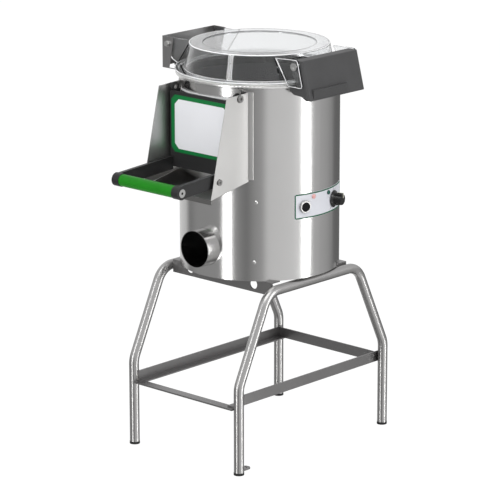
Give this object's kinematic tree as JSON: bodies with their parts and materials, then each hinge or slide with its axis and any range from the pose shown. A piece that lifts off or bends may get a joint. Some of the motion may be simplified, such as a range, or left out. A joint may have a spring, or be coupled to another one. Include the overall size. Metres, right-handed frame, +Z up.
{
  "type": "electric potato peeler",
  "caption": "Upright drum peeler on a bent-tube stand, with a clear hinged lid, a side latch, a swinging discharge door with a handle bar, a timer panel and a front drain pipe.",
  "frame": {"origin": "middle of the machine's footprint box, on the floor", "axes": "+Z up, -Y towards the discharge chute, +X towards the lid hinge and the control panel"},
  "size_m": [0.4996, 0.6933, 1.0165],
  "materials": {
    "stainless_tube": "polished stainless tube",
    "frame_steel": "brushed stainless sheet, welded",
    "black_rubber": "matt",
    "stainless": "satin brushed",
    "rim_metal": "satin",
    "gasket": "pale silicone",
    "clear_lid": "clear polycarbonate",
    "dark_plastic": "fine moulded texture",
    "latch_steel": "satin",
    "door_paint": "dark grey coat",
    "label_print": "printed film",
    "panel_print": "printed film",
    "green_grip": "moulded",
    "bright_steel": "bright",
    "black_plastic": "moulded",
    "red_lens": "translucent",
    "green_lens": "translucent",
    "abrasive": "coarse bonded grit",
    "cast_aluminium": "as cast",
    "cast_iron": "painted casting",
    "motor_paint": "grey enamel"
  },
  "bodies": {
    "stand": {"stand_frame_left": "stainless_tube", "stand_frame_right": "stainless_tube", "floor_lugs": "frame_steel", "lower_rail_left": "frame_steel", "lower_rail_right": "frame_steel", "rear_bar": "frame_steel", "front_bar": "frame_steel", "front_cross_strip": "frame_steel", "rear_cross_strip": "frame_steel", "foot_plugs": "black_rubber", "shaft_seal": "black_rubber", "drive_belt": "black_rubber", "drum_shell": "stainless", "bottom_cover": "stainless", "chute_side_left": "stainless", "chute_side_right": "stainless", "chute_floor": "stainless", "outlet_pipe": "stainless", "chamber_pan": "stainless", "rim_ring": "rim_metal", "lid_gasket": "gasket", "hinge_housing": "dark_plastic", "control_panel": "panel_print", "cover_bolts": "bright_steel", "hinge_screws": "bright_steel", "door_pivot_screws": "bright_steel", "stop_screws": "bright_steel", "drum_screws": "bright_steel", "start_bezel": "bright_steel", "shaft_bearings": "bright_steel", "button_block": "black_plastic", "timer_body": "black_plastic", "pilot_holders": "black_plastic", "red_pilot": "red_lens", "green_pilot": "green_lens", "abrasive_lining": "abrasive", "bearing_housing": "cast_iron", "motor": "motor_paint", "motor_plate": "motor_paint"},
    "lid": {"lid": "clear_lid", "latch_bolts": "bright_steel"},
    "latch": {"latch": "latch_steel"},
    "door": {"door_carrier": "door_paint", "door_inner_plate": "stainless", "door_label": "label_print", "door_arm_left": "door_paint", "door_arm_right": "door_paint", "handle_bar": "bright_steel", "handle_grip": "green_grip", "handle_screws": "bright_steel"},
    "start_button": {"start_cap": "black_plastic"},
    "timer_dial": {"timer_knob": "black_plastic"},
    "turntable": {"drive_shaft": "bright_steel", "abrasive_plate": "abrasive", "plate_hub": "cast_aluminium", "plate_cap": "bright_steel", "large_pulley": "cast_aluminium"},
    "motor_rotor": {"motor_shaft": "bright_steel", "motor_pulley": "cast_aluminium"}
  },
  "joints": [
    {"name": "lid_hinge", "type": "hinge", "parent": "stand", "child": "lid", "pos_m": [0.20425, 0.06285, 0.997], "axis": [0, 1, 0], "range_deg": [0, 100]},
    {"name": "latch_swing", "type": "hinge", "parent": "lid", "child": "latch", "pos_m": [-0.23205, 0.06285, 0.9947], "axis": [0, 1, 0], "range_deg": [0, 50]},
    {"name": "door_swing", "type": "hinge", "parent": "stand", "child": "door", "pos_m": [-0.00675, -0.13115, 0.918], "axis": [-1, 0, 0], "range_deg": [0, 70]},
    {"name": "start_push", "type": "slide", "parent": "stand", "child": "start_button", "axis": [-0.9686, 0.2487, 0], "range_m": [0, 0.003], "stiffness_N_per_m": 300, "springref_m": -0.004},
    {"name": "timer_turn", "type": "hinge", "parent": "stand", "child": "timer_dial", "pos_m": [0.18512, 0.12408, 0.638], "axis": [-0.9527, -0.304, 0], "range_deg": [0, 300]},
    {"name": "turntable_spin", "type": "hinge", "parent": "stand", "child": "turntable", "pos_m": [-0.00675, 0.06285, 0.7], "axis": [0, 0, 1], "continuous": true},
    {"name": "motor_spin", "type": "hinge", "parent": "stand", "child": "motor_rotor", "pos_m": [-0.00675, 0.17885, 0.47], "axis": [0, 0, 1], "continuous": true}
  ],
  "couplings": [
    {"joint": "motor_spin", "follows": "turntable_spin", "ratio": 3.8182}
  ]
}
